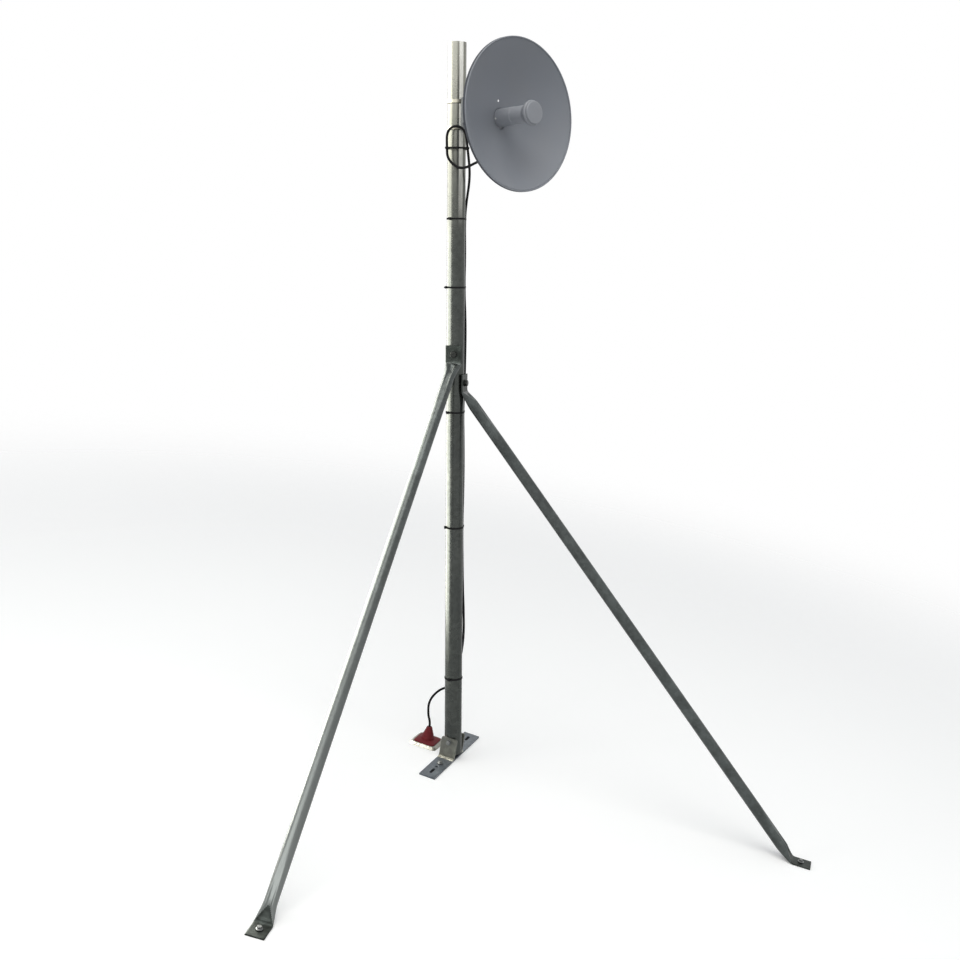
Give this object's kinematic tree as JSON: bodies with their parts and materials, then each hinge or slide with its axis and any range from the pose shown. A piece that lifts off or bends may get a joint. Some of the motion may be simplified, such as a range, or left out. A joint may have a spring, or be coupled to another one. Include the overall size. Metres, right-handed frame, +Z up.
{
  "type": "roof antenna mast",
  "caption": "Galvanised tube mast on a hinged strip foot, braced by crushed-end tube stays, with a small round dish, a tied cable and a rubber cable boot.",
  "frame": {"origin": "centre of the underside of the foot strip, on the slope that the mast stands on", "axes": "+Z up along the plumb mast, +X down the slope, -Y towards the front stay"},
  "size_m": [1.1969, 1.2631, 2.2251],
  "materials": {
    "mast_steel": "hot-dip galvanised, mottled",
    "stay_steel": "hot-dip galvanised, dull",
    "foot_steel": "zinc plated plate",
    "bolt_steel": "zinc plated",
    "bracket_steel": "zinc plated",
    "band_steel": "stainless band",
    "dish_paint": "satin grey paint",
    "feed_plastic": "satin moulded grey",
    "cap_plastic": "satin moulded grey",
    "black_plastic": "moulded black",
    "cable_jacket": "semi-gloss black jacket",
    "boot_rubber": "dull red rubber",
    "flange_aluminium": "soft sheet, hammered edge"
  },
  "bodies": {
    "root": {"band_clamp_lower": "band_steel", "band_clamp_upper": "band_steel", "boot_cone": "boot_rubber", "boot_flange": "flange_aluminium", "cable_gland": "black_plastic", "cable_tie_1": "black_plastic", "cable_tie_2": "black_plastic", "cable_tie_3": "black_plastic", "cable_tie_4": "black_plastic", "cable_tie_5": "black_plastic", "cable_tie_6": "black_plastic", "dish_reflector": "dish_paint", "far_ear": "foot_steel", "feed_cap": "cap_plastic", "feed_collar": "feed_plastic", "feed_tube": "feed_plastic", "foot_strip": "foot_steel", "front_bolt": "bolt_steel", "front_nut": "bolt_steel", "front_stay": "stay_steel", "hub_plate": "feed_plastic", "mast_saddle": "bracket_steel", "mast_tube": "mast_steel", "near_ear": "foot_steel", "network_cable": "cable_jacket", "pivot_bolt": "bolt_steel", "pivot_nut": "bolt_steel", "radio_housing": "feed_plastic", "side_bolt": "bolt_steel", "side_nut": "bolt_steel", "side_stay": "stay_steel", "tilt_arm": "bracket_steel", "tilt_bolt": "bolt_steel", "tilt_lug": "feed_plastic", "tilt_nut": "bolt_steel"}
  },
  "joints": []
}
